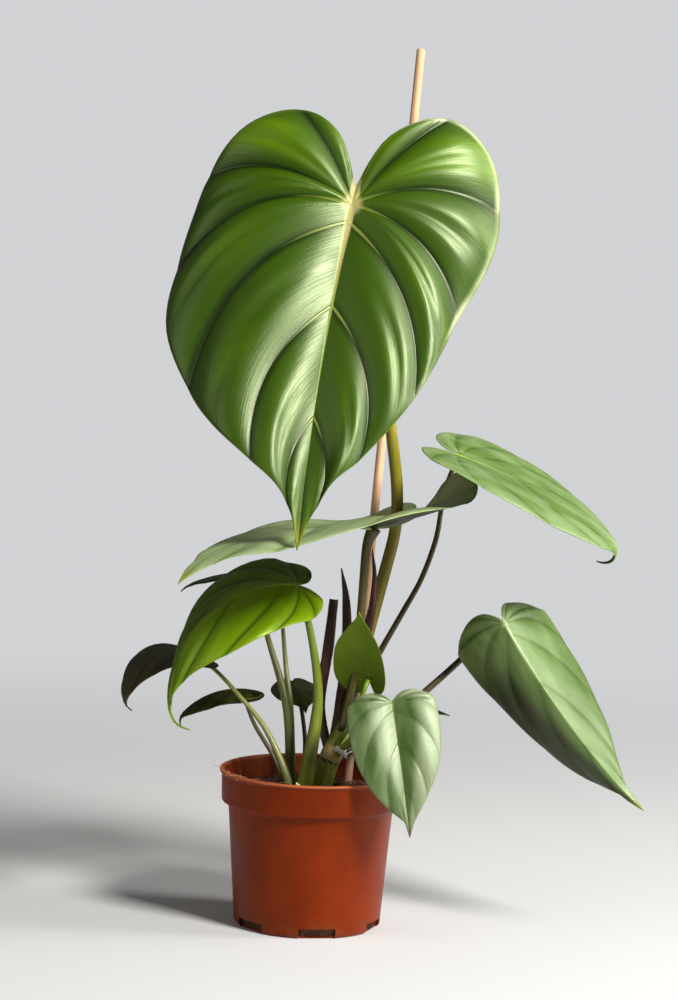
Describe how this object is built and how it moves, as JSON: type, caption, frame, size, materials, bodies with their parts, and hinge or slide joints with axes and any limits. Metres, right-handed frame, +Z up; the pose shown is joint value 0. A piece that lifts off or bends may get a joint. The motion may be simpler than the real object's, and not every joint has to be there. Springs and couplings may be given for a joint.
{
  "type": "potted philodendron",
  "caption": "Aroid house plant with large quilted heart-shaped leaves on slender petioles, growing beside a wooden stake in a round plastic nursery pot filled with soil.",
  "frame": {"origin": "middle of the underside of the pot, on the surface that the pot stands on", "axes": "+Z up along the pot's axis, -Y towards the viewer, where the largest leaf shows its upper face, +X to the viewer's right"},
  "size_m": [0.256, 0.2003, 0.4302],
  "materials": {
    "pot_plastic": "satin",
    "soil": "matte",
    "stake_wood": "matte",
    "stem_green": "satin",
    "petiole_olive": "satin",
    "petiole_brown": "satin",
    "root": "matte",
    "sheath": "satin",
    "leaf_deep": "satin",
    "leaf_pale": "satin",
    "leaf_bright": "satin",
    "leaf_dark": "satin"
  },
  "bodies": {
    "root": {"nursery_pot": "pot_plastic", "potting_soil": "soil", "support_stake": "stake_wood", "main_stem": "stem_green", "side_shoot": "stem_green", "basal_bud": "stem_green", "aerial_root": "root", "petiole_01": "petiole_olive", "petiole_02": "petiole_brown", "petiole_03": "petiole_brown", "petiole_05": "stem_green", "petiole_06": "stem_green", "petiole_07": "petiole_brown", "petiole_08": "petiole_brown", "petiole_09": "stem_green", "petiole_10": "stem_green", "petiole_11": "petiole_brown", "petiole_12": "petiole_brown", "sheath_1": "sheath", "sheath_2": "sheath", "sheath_3": "sheath", "leaf_01_blade": "leaf_deep", "leaf_02_blade": "leaf_pale", "leaf_03_blade": "leaf_pale", "leaf_04_blade": "leaf_dark", "leaf_05_blade": "leaf_bright", "leaf_06_blade": "leaf_dark", "leaf_07_blade": "leaf_dark", "leaf_08_blade": "leaf_dark", "leaf_09_blade": "leaf_bright", "leaf_10_blade": "leaf_pale", "leaf_11_blade": "leaf_pale", "leaf_12_blade": "leaf_dark", "leaf_13_blade": "leaf_pale"}
  },
  "joints": []
}
